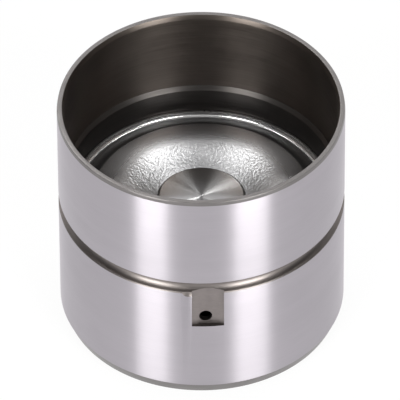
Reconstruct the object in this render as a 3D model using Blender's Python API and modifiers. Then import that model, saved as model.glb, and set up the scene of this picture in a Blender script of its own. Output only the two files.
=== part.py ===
# Hydraulic valve lifter: a bucket tappet with its lash adjusting element inside.
# It stands on its cam face at z = 0, with its open end up and the axis on Z.

import math

import bmesh
import bpy
from mathutils import Matrix, Vector

MM = 0.001

# Bucket: the ground outer cup
BUCKET_DIAMETER = 35.0 * MM
BUCKET_HEIGHT = 31.5 * MM
CROWN_THICKNESS = 3.0 * MM
LOWER_WALL = 1.33 * MM
UPPER_WALL = 0.85 * MM
FLOOR_FILLET = 1.2 * MM
CAM_EDGE_HEIGHT = 1.5 * MM
CAM_EDGE_WIDTH = 0.62 * MM
RIM_BEVEL_HEIGHT = 0.5 * MM
RIM_BEVEL_WIDTH = 0.08 * MM
LEAD_IN_HEIGHT = 0.63 * MM
LEAD_IN_WIDTH = 0.21 * MM
LOWER_BORE_ABOVE_FLANGE = 3.2 * MM

# Oil groove, pocket and hole in the skirt
GROOVE_HEIGHT = 17.55 * MM
GROOVE_WIDTH = 1.74 * MM
GROOVE_DEPTH = 0.8 * MM
GROOVE_EDGE = 0.12 * MM
POCKET_WIDTH = 3.9 * MM
POCKET_DEPTH = 0.62 * MM
POCKET_DROP = 6.24 * MM
POCKET_MILL_RADIUS = 7.0 * MM
POCKET_ANGLE = math.radians(2.3)
OIL_HOLE_DIAMETER = 1.6 * MM
OIL_HOLE_RISE = 1.25 * MM
OIL_HOLE_ANGLE = math.radians(1.4)
EDGE_NICK_RADIUS = 1.8 * MM
EDGE_NICK_DEPTH = 0.2 * MM
EDGE_NICK_RISE = 0.3 * MM
EDGE_NICK_ANGLE = math.radians(-5.6)

# Overflow recess pressed into the crown's inner face
RECESS_WIDTH = 2.4 * MM
RECESS_DEPTH = 0.5 * MM
RECESS_START = 2.0 * MM
RECESS_BEYOND_SLEEVE = 1.9 * MM

# Guide sleeve: flange, web, crest and sleeve, drawn in one piece
FLANGE_HEIGHT = 13.5 * MM
FLANGE_THICKNESS = 0.35 * MM
FLANGE_WALL = 0.6 * MM
FLANGE_FILLET = 0.35 * MM
FLANGE_FOOT_BEVEL = 0.4 * MM
WEB_THICKNESS = 1.3 * MM
CREST_RISE = 1.15 * MM
CREST_RADIUS = 13.3 * MM
DOME_ROUND = 13.0 * MM
CONE_ANGLE = math.radians(26.0)
MOUTH_ROUND = 0.8 * MM
SLEEVE_WALL = 1.35 * MM

# Inner housing: the element cup, closed at the valve end
INNER_HOUSING_DIAMETER = 11.0 * MM
INNER_HOUSING_END = 1.8 * MM
FACE_BEVEL = 0.35 * MM
OPEN_END_BEVEL = 0.2 * MM
RING_GROOVE_DEPTH = 0.35 * MM
RING_GROOVE_RISE = 0.8 * MM
TRAVEL = 2.6 * MM
END_CLEARANCE = 0.15 * MM

# Piston
PISTON_DIAMETER = 8.4 * MM
PISTON_LENGTH = 6.5 * MM
PISTON_HEAD = 2.2 * MM
RESERVOIR_DIAMETER = 5.8 * MM
OIL_BORE_DIAMETER = 1.4 * MM
SEAT_DIAMETER = 2.3 * MM
PISTON_BEVEL = 0.25 * MM
FOOT_SLOT_WIDTH = 1.2 * MM
FOOT_SLOT_DEPTH = 0.6 * MM

# Check valve
BALL_DIAMETER = 2.4 * MM
BALL_LIFT = 0.25 * MM
CAP_SHEET = 0.25 * MM
CAP_SIDE_ROOM = 0.3 * MM
CAP_SPRING_ROOM = 0.35 * MM
CAP_BEND = 0.2 * MM
CAP_DIMPLE_DIAMETER = 0.8 * MM
CAP_FLANGE_DIAMETER = 7.5 * MM
CAP_WINDOW_DIAMETER = 0.9 * MM
CAP_WINDOWS = 4
BALL_SPRING_DIAMETER = 1.5 * MM
BALL_SPRING_WIRE = 0.15 * MM
BALL_SPRING_TURNS = 2.5

# Return spring and retaining ring
RETURN_SPRING_DIAMETER = 6.6 * MM
RETURN_SPRING_WIRE = 0.6 * MM
RETURN_SPRING_TURNS = 3.5
RETURN_SPRING_CLOSED_TURNS = 0.75
COIL_GAP = 0.08 * MM
RING_WIRE = 0.7 * MM
RING_OPENING = math.radians(24.0)

# Clearances: between a piece and its seat, and between a piece and the bore it slides in
SEAT_GAP = 0.05 * MM
RUNNING_GAP = 0.05 * MM

# Facets round the axis
OUTER_SIDES = 72
INNER_SIDES = 48
SMALL_SIDES = 32

# Radii that several pieces share
bucket_radius = BUCKET_DIAMETER / 2
lower_bore = bucket_radius - LOWER_WALL
upper_bore = bucket_radius - UPPER_WALL
housing_radius = INNER_HOUSING_DIAMETER / 2
sleeve_bore = housing_radius + RUNNING_GAP
sleeve_radius = sleeve_bore + SLEEVE_WALL
piston_radius = PISTON_DIAMETER / 2
housing_bore = piston_radius + RUNNING_GAP
ball_radius = BALL_DIAMETER / 2
cage_bore = ball_radius + CAP_SIDE_ROOM

# Heights that several pieces share
floor_z = CROWN_THICKNESS
flange_z = floor_z + FLANGE_HEIGHT
valley_z = flange_z - FLANGE_WALL - FLANGE_FILLET
crest_z = valley_z + CREST_RISE
step_z = flange_z + LOWER_BORE_ABOVE_FLANGE
open_end_z = floor_z + TRAVEL + END_CLEARANCE
ring_z = open_end_z + RING_GROOVE_RISE
ring_groove_width = RING_WIRE + 2 * SEAT_GAP
shoulder_z = ring_z + RING_WIRE / 2 + SEAT_GAP
piston_foot_z = floor_z + SEAT_GAP
piston_top_z = piston_foot_z + PISTON_LENGTH
cap_foot_z = piston_top_z + SEAT_GAP
seat_gap_on_axis = SEAT_GAP * math.sqrt(2)
ball_z = piston_top_z + ball_radius * math.sqrt(2) - SEAT_DIAMETER / 2 + seat_gap_on_axis
dimple_z = ball_z + ball_radius + BALL_LIFT + SEAT_GAP
cap_ceiling_z = dimple_z + CAP_SPRING_ROOM
cap_top_z = cap_ceiling_z + CAP_SHEET
ceiling_z = cap_top_z + TRAVEL + END_CLEARANCE
face_z = ceiling_z + INNER_HOUSING_END
return_spring_z = cap_foot_z + CAP_SHEET + SEAT_GAP
return_spring_length = ceiling_z - SEAT_GAP - return_spring_z
ball_spring_reach = ball_radius + BALL_SPRING_WIRE / 2 + SEAT_GAP
ball_spring_z = ball_z + math.sqrt(ball_spring_reach ** 2 - (BALL_SPRING_DIAMETER / 2) ** 2)
ball_spring_rise = cap_ceiling_z - SEAT_GAP - BALL_SPRING_WIRE / 2 - ball_spring_z


def clear_scene():
    for old in list(bpy.data.objects):
        bpy.data.objects.remove(old, do_unlink=True)
    for old in list(bpy.data.collections):
        bpy.data.collections.remove(old)


def new_collection(name):
    collection = bpy.data.collections.new(name)
    bpy.context.scene.collection.children.link(collection)
    return collection


def steel(name, colour, roughness):
    material = bpy.data.materials.new(name)
    material.use_nodes = True
    shader = material.node_tree.nodes["Principled BSDF"]
    shader.inputs["Base Color"].default_value = (*colour, 1.0)
    shader.inputs["Roughness"].default_value = roughness
    shader.inputs["Metallic"].default_value = 1.0
    return material


def arc(centre, radii, start, end, steps):
    """Points on an ellipse arc in the profile plane, angles in degrees from the outward direction."""
    points = []
    for step in range(steps + 1):
        angle = math.radians(start + (end - start) * step / steps)
        points.append((centre[0] + radii[0] * math.cos(angle), centre[1] + radii[1] * math.sin(angle)))
    return points


def eased(start, end, steps):
    """Points on a curve from start to end that leaves and arrives level."""
    points = []
    for step in range(1, steps):
        share = step / steps
        rise = (1 - math.cos(math.pi * share)) / 2
        points.append((start[0] + (end[0] - start[0]) * share, start[1] + (end[1] - start[1]) * rise))
    return points


def turned(name, profile, sides, material, collection, height=0.0, closed=False):
    """Spin a profile of (radius, z) points about the axis; the object's origin is at the height."""
    mesh = bpy.data.meshes.new(name)
    points = [(radius, 0.0, z - height) for radius, z in profile]
    edges = [(index, index + 1) for index in range(len(points) - 1)]
    if closed:
        edges.append((len(points) - 1, 0))
    mesh.from_pydata(points, edges, [])
    piece = bpy.data.objects.new(name, mesh)
    piece.location.z = height
    piece.data.materials.append(material)
    collection.objects.link(piece)
    spin = piece.modifiers.new("Spin", "SCREW")
    spin.axis = "Z"
    spin.angle = 2 * math.pi
    spin.steps = sides
    spin.render_steps = sides
    spin.use_merge_vertices = True
    spin.merge_threshold = 0.001 * MM
    spin.use_smooth_shade = True
    return piece


def bent_wire(name, points, wire, material, collection, height):
    """A round wire with filled ends along the points; the object's origin is at the height."""
    curve = bpy.data.curves.new(name, "CURVE")
    curve.dimensions = "3D"
    curve.bevel_depth = wire / 2
    curve.bevel_resolution = 2
    curve.use_fill_caps = True
    spline = curve.splines.new("POLY")
    spline.points.add(len(points) - 1)
    for place, point in zip(spline.points, points):
        place.co = (*point, 1.0)
    curve.materials.append(material)
    piece = bpy.data.objects.new(name, curve)
    piece.location.z = height
    collection.objects.link(piece)
    return piece


def helix(radius, rise, turns, per_turn, closed_turns=0.0, closed_rise=0.0):
    """Points of a coil whose end turns rise by closed_rise a turn and whose middle takes the rest."""
    active = turns - 2 * closed_turns
    active_rise = (rise - 2 * closed_turns * closed_rise) / active
    points = []
    count = round(turns * per_turn)
    for index in range(count + 1):
        turn = turns * index / count
        in_first = min(turn, closed_turns)
        in_last = max(turn - closed_turns - active, 0.0)
        z = (in_first + in_last) * closed_rise + (turn - in_first - in_last) * active_rise
        angle = 2 * math.pi * turn
        points.append((radius * math.cos(angle), radius * math.sin(angle), z))
    return points


def cutter_object(name, shape, collection):
    mesh = bpy.data.meshes.new(name)
    shape.to_mesh(mesh)
    shape.free()
    cutter = bpy.data.objects.new(name, mesh)
    cutter.display_type = "WIRE"
    cutter.hide_render = True
    collection.objects.link(cutter)
    return cutter


def box_cutter(name, size, collection):
    """A box centred on its origin."""
    shape = bmesh.new()
    bmesh.ops.create_cube(shape, size=1.0)
    bmesh.ops.scale(shape, vec=Vector(size), verts=shape.verts)
    return cutter_object(name, shape, collection)


def mill_cutter(name, size, mill_radius, steps, collection):
    """A block with flat ends that reaches size[1] to both sides, inwards as round as its mill."""
    width, depth, height = size
    outline = [(-width / 2, -depth), (width / 2, -depth)]
    for step in range(steps + 1):
        x = width / 2 - width * step / steps
        outline.append((x, depth - mill_radius + math.sqrt(mill_radius ** 2 - x ** 2)))
    shape = bmesh.new()
    foot = shape.faces.new([shape.verts.new((x, y, -height / 2)) for x, y in outline])
    raised = bmesh.ops.extrude_face_region(shape, geom=[foot], use_keep_orig=True)["geom"]
    top = [vertex for vertex in raised if isinstance(vertex, bmesh.types.BMVert)]
    bmesh.ops.translate(shape, vec=Vector((0.0, 0.0, height)), verts=top)
    bmesh.ops.recalc_face_normals(shape, faces=shape.faces)
    return cutter_object(name, shape, collection)


def ball_cutter(name, diameter, sides, collection):
    shape = bmesh.new()
    bmesh.ops.create_uvsphere(shape, u_segments=sides, v_segments=sides // 2, radius=diameter / 2)
    return cutter_object(name, shape, collection)


def rod_cutter(name, diameter, length, sides, collection):
    """A rod along its own Y, centred on its origin."""
    shape = bmesh.new()
    bmesh.ops.create_cone(shape, cap_ends=True, segments=sides, radius1=diameter / 2,
                          radius2=diameter / 2, depth=length)
    bmesh.ops.rotate(shape, matrix=Matrix.Rotation(math.pi / 2, 3, "X"), verts=shape.verts)
    return cutter_object(name, shape, collection)


def cut(piece, cutter):
    boolean = piece.modifiers.new(cutter.name, "BOOLEAN")
    boolean.operation = "DIFFERENCE"
    boolean.solver = "EXACT"
    boolean.object = cutter


def place_on_skirt(cutter, angle, distance, z):
    """Face a cutter's own Y along the radius that lies angle round from the front."""
    cutter.location = (distance * math.sin(angle), -distance * math.cos(angle), z)
    cutter.rotation_euler.z = angle


def make_bucket(material, parts, cutters):
    groove_radii = (GROOVE_DEPTH, GROOVE_WIDTH / 2 - GROOVE_EDGE)
    groove = arc((bucket_radius, GROOVE_HEIGHT), groove_radii, 90, 270, 8)
    profile = [(0.0, floor_z)]
    profile += arc((lower_bore - FLOOR_FILLET, floor_z + FLOOR_FILLET), (FLOOR_FILLET, FLOOR_FILLET),
                   -90, 0, 4)
    profile += [
        (lower_bore, step_z),
        (upper_bore, step_z + upper_bore - lower_bore),
        (upper_bore, BUCKET_HEIGHT - LEAD_IN_HEIGHT),
        (upper_bore + LEAD_IN_WIDTH, BUCKET_HEIGHT),
        (bucket_radius - RIM_BEVEL_WIDTH, BUCKET_HEIGHT),
        (bucket_radius, BUCKET_HEIGHT - RIM_BEVEL_HEIGHT),
        (bucket_radius, GROOVE_HEIGHT + GROOVE_WIDTH / 2),
    ]
    profile += groove[1:-1]
    profile += [
        (bucket_radius, GROOVE_HEIGHT - GROOVE_WIDTH / 2),
        (bucket_radius, CAM_EDGE_HEIGHT),
        (bucket_radius - CAM_EDGE_WIDTH, 0.0),
        (0.0, 0.0),
    ]
    bucket = turned("bucket", profile, OUTER_SIDES, material, parts)

    pocket_size = (POCKET_WIDTH, POCKET_DEPTH, POCKET_DROP)
    pocket = mill_cutter("pocket_cutter", pocket_size, POCKET_MILL_RADIUS, 8, cutters)
    place_on_skirt(pocket, POCKET_ANGLE, bucket_radius, GROOVE_HEIGHT - POCKET_DROP / 2)
    cut(bucket, pocket)

    hole = rod_cutter("oil_hole_cutter", OIL_HOLE_DIAMETER, 4 * LOWER_WALL, 20, cutters)
    hole_z = GROOVE_HEIGHT - POCKET_DROP + OIL_HOLE_RISE
    place_on_skirt(hole, OIL_HOLE_ANGLE, bucket_radius, hole_z)
    cut(bucket, hole)

    nick = ball_cutter("edge_nick_cutter", 2 * EDGE_NICK_RADIUS, 40, cutters)
    nick_distance = bucket_radius - EDGE_NICK_DEPTH + EDGE_NICK_RADIUS
    nick_z = GROOVE_HEIGHT - GROOVE_WIDTH / 2 + EDGE_NICK_RISE
    place_on_skirt(nick, EDGE_NICK_ANGLE, nick_distance, nick_z)
    cut(bucket, nick)

    recess_end = sleeve_radius + RECESS_BEYOND_SLEEVE
    recess_size = (RECESS_WIDTH, recess_end - RECESS_START, 2 * RECESS_DEPTH)
    recess = box_cutter("overflow_recess_cutter", recess_size, cutters)
    place_on_skirt(recess, math.pi, (recess_end + RECESS_START) / 2, floor_z)
    cut(bucket, recess)
    return bucket


def cone_z(radius, inset):
    """Height at a radius of the web's cone, or of a face that lies inset below it."""
    cone_on_crest = crest_z - DOME_ROUND + (DOME_ROUND - inset) / math.cos(CONE_ANGLE)
    return cone_on_crest - (CREST_RADIUS - radius) * math.tan(CONE_ANGLE)


def make_guide_sleeve(material, parts):
    flange_radius = lower_bore - SEAT_GAP
    flange_bore = flange_radius - FLANGE_THICKNESS
    valley_radius = flange_bore - FLANGE_FILLET
    foot_z = floor_z + SEAT_GAP
    counterbore = sleeve_bore + RING_WIRE - RING_GROOVE_DEPTH + 2 * SEAT_GAP
    under_valley_z = valley_z - WEB_THICKNESS
    under_crest_z = crest_z - WEB_THICKNESS
    profile = [
        (flange_radius, flange_z),
        (flange_radius, under_valley_z + FLANGE_FOOT_BEVEL),
        (flange_radius - FLANGE_FOOT_BEVEL, under_valley_z),
        (valley_radius, under_valley_z),
    ]
    profile += eased((valley_radius, under_valley_z), (CREST_RADIUS, under_crest_z), 5)
    slope = math.degrees(CONE_ANGLE)
    dome_centre = (CREST_RADIUS, crest_z - DOME_ROUND)
    under_dome = DOME_ROUND - WEB_THICKNESS
    profile += arc(dome_centre, (under_dome, under_dome), 90, 90 + slope, 5)
    profile += [
        (sleeve_radius, cone_z(sleeve_radius, WEB_THICKNESS)),
        (sleeve_radius, foot_z),
        (counterbore, foot_z),
        (counterbore, shoulder_z),
        (sleeve_bore, shoulder_z),
    ]
    edge_radius = sleeve_bore + MOUTH_ROUND
    edge_centre = (edge_radius, cone_z(edge_radius, MOUTH_ROUND))
    profile += arc(edge_centre, (MOUTH_ROUND, MOUTH_ROUND), 180, 90 + slope, 4)
    profile += arc(dome_centre, (DOME_ROUND, DOME_ROUND), 90 + slope, 90, 6)
    profile += eased((CREST_RADIUS, crest_z), (valley_radius, valley_z), 6)
    profile += arc((valley_radius, valley_z + FLANGE_FILLET), (FLANGE_FILLET, FLANGE_FILLET),
                   -90, 0, 4)
    profile += [(flange_bore, flange_z)]
    return turned("guide_sleeve", profile, OUTER_SIDES, material, parts, closed=True)


def make_inner_housing(material, parts):
    groove_floor = housing_radius - RING_GROOVE_DEPTH
    groove_top = ring_z + ring_groove_width / 2
    groove_foot = ring_z - ring_groove_width / 2
    profile = [
        (0.0, face_z),
        (housing_radius - FACE_BEVEL, face_z),
        (housing_radius, face_z - FACE_BEVEL),
        (housing_radius, groove_top),
        (groove_floor, groove_top),
        (groove_floor, groove_foot),
        (housing_radius, groove_foot),
        (housing_radius, open_end_z + OPEN_END_BEVEL),
        (housing_radius - OPEN_END_BEVEL, open_end_z),
        (housing_bore + OPEN_END_BEVEL, open_end_z),
        (housing_bore, open_end_z + OPEN_END_BEVEL),
        (housing_bore, ceiling_z),
        (0.0, ceiling_z),
    ]
    return turned("inner_housing", profile, INNER_SIDES, material, parts, face_z)


def make_piston(material, parts, cutters):
    reservoir = RESERVOIR_DIAMETER / 2
    oil_bore = OIL_BORE_DIAMETER / 2
    seat = SEAT_DIAMETER / 2
    reservoir_top = piston_top_z - PISTON_HEAD
    profile = [
        (seat, piston_top_z),
        (piston_radius - PISTON_BEVEL, piston_top_z),
        (piston_radius, piston_top_z - PISTON_BEVEL),
        (piston_radius, piston_foot_z + PISTON_BEVEL),
        (piston_radius - PISTON_BEVEL, piston_foot_z),
        (reservoir, piston_foot_z),
        (reservoir, reservoir_top - PISTON_BEVEL),
        (reservoir - PISTON_BEVEL, reservoir_top),
        (oil_bore, reservoir_top),
        (oil_bore, piston_top_z - (seat - oil_bore)),
    ]
    piston = turned("piston", profile, INNER_SIDES, material, parts, piston_foot_z, closed=True)
    slot_size = (FOOT_SLOT_WIDTH, 3 * piston_radius, 2 * FOOT_SLOT_DEPTH)
    slot = box_cutter("foot_slot_cutter", slot_size, cutters)
    slot.location.z = piston_foot_z
    cut(piston, slot)
    return piston


def make_check_ball(material, parts):
    mesh = bpy.data.meshes.new("check_ball")
    shape = bmesh.new()
    bmesh.ops.create_uvsphere(shape, u_segments=24, v_segments=14, radius=ball_radius)
    shape.to_mesh(mesh)
    shape.free()
    mesh.shade_smooth()
    mesh.materials.append(material)
    ball = bpy.data.objects.new("check_ball", mesh)
    ball.location.z = ball_z
    parts.objects.link(ball)
    return ball


def make_valve_cap(material, parts, cutters):
    cage_radius = cage_bore + CAP_SHEET
    dimple = CAP_DIMPLE_DIAMETER / 2
    flange = CAP_FLANGE_DIAMETER / 2
    profile = [
        (0.0, dimple_z + CAP_SHEET),
        (dimple - CAP_SHEET / 2, dimple_z + CAP_SHEET),
        (dimple, cap_top_z),
        (cage_radius - CAP_BEND, cap_top_z),
        (cage_radius, cap_top_z - CAP_BEND),
        (cage_radius, cap_foot_z + CAP_SHEET),
        (flange, cap_foot_z + CAP_SHEET),
        (flange, cap_foot_z),
        (cage_bore, cap_foot_z),
        (cage_bore, cap_ceiling_z - CAP_BEND),
        (cage_bore - CAP_BEND, cap_ceiling_z),
        (dimple + CAP_SHEET, cap_ceiling_z),
        (dimple + CAP_SHEET / 2, dimple_z),
        (0.0, dimple_z),
    ]
    cap = turned("valve_cap", profile, SMALL_SIDES, material, parts, cap_foot_z)
    window_z = (cap_foot_z + CAP_SHEET + cap_ceiling_z - CAP_BEND) / 2
    for index in range(CAP_WINDOWS):
        window = rod_cutter(f"window_cutter_{index + 1}", CAP_WINDOW_DIAMETER, 4 * CAP_SHEET, 12, cutters)
        angle = 2 * math.pi * (index + 0.5) / CAP_WINDOWS
        place_on_skirt(window, angle, cage_bore + CAP_SHEET / 2, window_z)
        cut(cap, window)
    return cap


def make_check_ball_spring(material, parts):
    points = helix(BALL_SPRING_DIAMETER / 2, ball_spring_rise, BALL_SPRING_TURNS, 16)
    return bent_wire("check_ball_spring", points, BALL_SPRING_WIRE, material, parts, ball_spring_z)


def make_return_spring(material, parts):
    rise = return_spring_length - RETURN_SPRING_WIRE
    points = helix(RETURN_SPRING_DIAMETER / 2, rise, RETURN_SPRING_TURNS, 24,
                   RETURN_SPRING_CLOSED_TURNS, RETURN_SPRING_WIRE + COIL_GAP)
    height = return_spring_z + RETURN_SPRING_WIRE / 2
    return bent_wire("return_spring", points, RETURN_SPRING_WIRE, material, parts, height)


def make_retaining_ring(material, parts):
    radius = housing_radius - RING_GROOVE_DEPTH + SEAT_GAP + RING_WIRE / 2
    turns = 1 - RING_OPENING / (2 * math.pi)
    points = helix(radius, 0.0, turns, 48)
    ring = bent_wire("retaining_ring", points, RING_WIRE, material, parts, ring_z)
    ring.rotation_euler.z = (math.pi + RING_OPENING) / 2
    return ring


def joint_empty(name, height, parts):
    """A guide on a joint's axis, which carries the pieces that slide on it."""
    empty = bpy.data.objects.new(name, None)
    empty.empty_display_size = BUCKET_DIAMETER / 4
    empty.location.z = height
    parts.objects.link(empty)
    return empty


def carry(empty, pieces):
    """Parent pieces to an empty and leave them where they are."""
    for piece in pieces:
        piece.parent = empty
        piece.matrix_parent_inverse = Matrix.Translation(-empty.location)


def main():
    clear_scene()
    parts = new_collection("hydraulic_valve_lifter")
    cutters = new_collection("cutters")

    ground = steel("ground_steel", (0.62, 0.60, 0.62), 0.26)
    drawn = steel("drawn_steel", (0.50, 0.48, 0.48), 0.38)
    turned_steel = steel("turned_steel", (0.58, 0.56, 0.56), 0.30)
    hardened = steel("hardened_steel", (0.55, 0.54, 0.54), 0.22)
    polished = steel("ball_steel", (0.72, 0.71, 0.71), 0.10)
    pressed = steel("pressed_sheet", (0.50, 0.49, 0.48), 0.35)
    wire = steel("spring_wire", (0.42, 0.41, 0.40), 0.32)
    fine_wire = steel("fine_spring_wire", (0.55, 0.54, 0.52), 0.30)
    ring_wire = steel("ring_wire", (0.36, 0.35, 0.34), 0.36)

    make_bucket(ground, parts, cutters)
    make_guide_sleeve(drawn, parts)
    inner_housing = make_inner_housing(turned_steel, parts)
    make_piston(hardened, parts, cutters)
    check_ball = make_check_ball(polished, parts)
    make_valve_cap(pressed, parts, cutters)
    make_check_ball_spring(fine_wire, parts)
    make_return_spring(wire, parts)
    retaining_ring = make_retaining_ring(ring_wire, parts)

    carry(joint_empty("element_slide", face_z, parts), [inner_housing, retaining_ring])
    carry(joint_empty("ball_lift", ball_z, parts), [check_ball])


main()
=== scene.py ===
import math
from collections import namedtuple

import bmesh
import bpy
from bpy.props import FloatProperty, FloatVectorProperty, IntProperty, PointerProperty
from mathutils import Matrix, Vector
from mathutils.noise import noise as noise_at


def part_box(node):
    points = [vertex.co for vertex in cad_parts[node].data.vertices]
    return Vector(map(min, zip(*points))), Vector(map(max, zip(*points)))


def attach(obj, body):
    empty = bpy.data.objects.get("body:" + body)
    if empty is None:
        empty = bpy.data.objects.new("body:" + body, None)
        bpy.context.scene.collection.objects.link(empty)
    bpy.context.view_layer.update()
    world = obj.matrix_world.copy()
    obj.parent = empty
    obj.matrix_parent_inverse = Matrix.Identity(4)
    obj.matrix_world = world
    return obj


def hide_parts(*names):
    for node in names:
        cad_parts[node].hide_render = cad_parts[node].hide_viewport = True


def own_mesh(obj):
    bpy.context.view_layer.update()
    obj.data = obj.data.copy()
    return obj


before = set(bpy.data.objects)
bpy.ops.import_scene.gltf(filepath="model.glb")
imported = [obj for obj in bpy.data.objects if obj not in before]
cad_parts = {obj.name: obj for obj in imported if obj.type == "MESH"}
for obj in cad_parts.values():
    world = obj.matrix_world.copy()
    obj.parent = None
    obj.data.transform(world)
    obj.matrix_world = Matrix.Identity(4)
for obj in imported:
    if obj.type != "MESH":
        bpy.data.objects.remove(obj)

bl_info = {
    "name": "Hydraulic valve lifter",
    "version": (1, 0, 0),
    "blender": (4, 5, 0),
    "location": "View3D > Sidebar > Lifter",
    "description": "Dresses a bucket tappet with fine turned meshes and steel finishes",
    "category": "Object",
}

MM = 0.001

BUCKET_LOW, BUCKET_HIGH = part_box("bucket")
SLEEVE_LOW, SLEEVE_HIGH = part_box("guide_sleeve")
HOUSING_LOW, HOUSING_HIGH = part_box("inner_housing")
PISTON_LOW, PISTON_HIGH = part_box("piston")
CAP_LOW, CAP_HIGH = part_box("valve_cap")
BALL_LOW, BALL_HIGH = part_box("check_ball")
SPRING_LOW, SPRING_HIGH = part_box("return_spring")
BALL_SPRING_LOW, BALL_SPRING_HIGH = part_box("check_ball_spring")
RING_LOW, RING_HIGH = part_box("retaining_ring")


def length(name, description, millimetres):
    return FloatProperty(name=name, description=description, default=millimetres * MM,
                         min=0.0, precision=5, unit="LENGTH")


def angle(name, description, degrees):
    return FloatProperty(name=name, description=description, default=math.radians(degrees),
                         precision=3, subtype="ANGLE", unit="ROTATION")


def number_of(name, description, number, least=1):
    return IntProperty(name=name, description=description, default=number, min=least)


def winding(name, description, number):
    return FloatProperty(name=name, description=description, default=number, min=0.25)


def colour(name, description, rgb):
    return FloatVectorProperty(name=name, description=description, default=rgb, size=3,
                               min=0.0, max=1.0, subtype="COLOR")


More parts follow.
